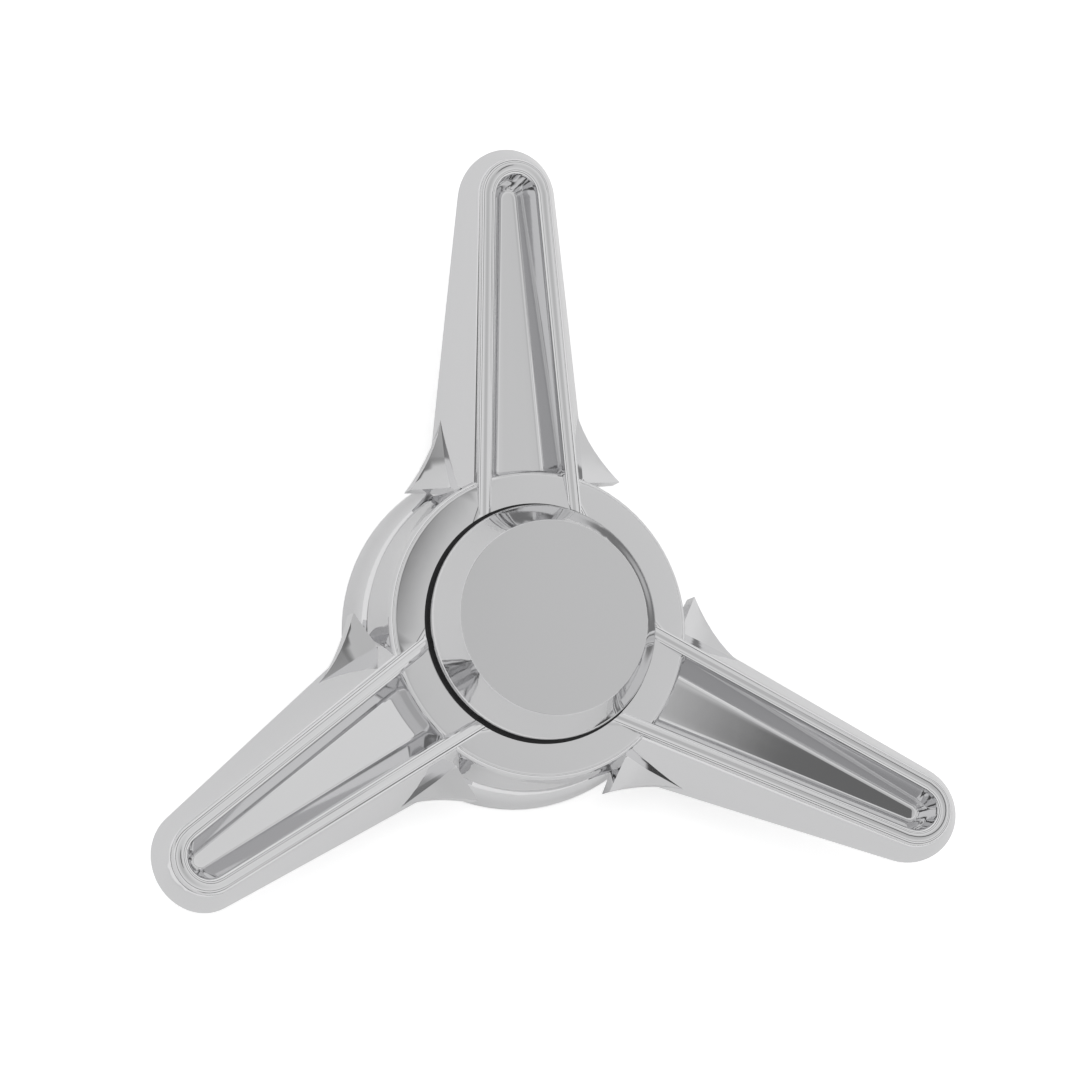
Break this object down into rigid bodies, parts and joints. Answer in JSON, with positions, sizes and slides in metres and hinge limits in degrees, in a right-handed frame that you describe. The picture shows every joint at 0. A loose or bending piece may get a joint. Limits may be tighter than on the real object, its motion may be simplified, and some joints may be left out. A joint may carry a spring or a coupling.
{
  "type": "spinner center cap",
  "caption": "Chromed three-bar wheel spinner cap with a blank bevelled centre disc and spring clips behind.",
  "frame": {"origin": "on the hub axis, in the plane of the skirt's foot, which the cap lies on", "axes": "+Z along the hub axis, out of the wheel; the first arm points near +Y"},
  "size_m": [0.1879, 0.1716, 0.0344],
  "materials": {
    "chrome_casting": "polished chrome plate on a die casting",
    "chrome_disc": "smooth chrome plate",
    "black_rubber": "matte rubber",
    "spring_steel": "tempered spring steel",
    "zinc_steel": "zinc plated steel"
  },
  "bodies": {
    "root": {"spinner_body": "chrome_casting", "center_disc": "chrome_disc", "disc_seal": "black_rubber", "rim_gasket": "black_rubber", "push_nut_1": "spring_steel", "push_nut_2": "spring_steel", "push_nut_3": "spring_steel", "spring_clip_1": "spring_steel", "spring_clip_2": "spring_steel", "spring_clip_3": "spring_steel", "lock_washer_1": "zinc_steel", "lock_washer_2": "zinc_steel", "lock_washer_3": "zinc_steel", "clip_screw_1": "zinc_steel", "clip_screw_2": "zinc_steel", "clip_screw_3": "zinc_steel"}
  },
  "joints": []
}
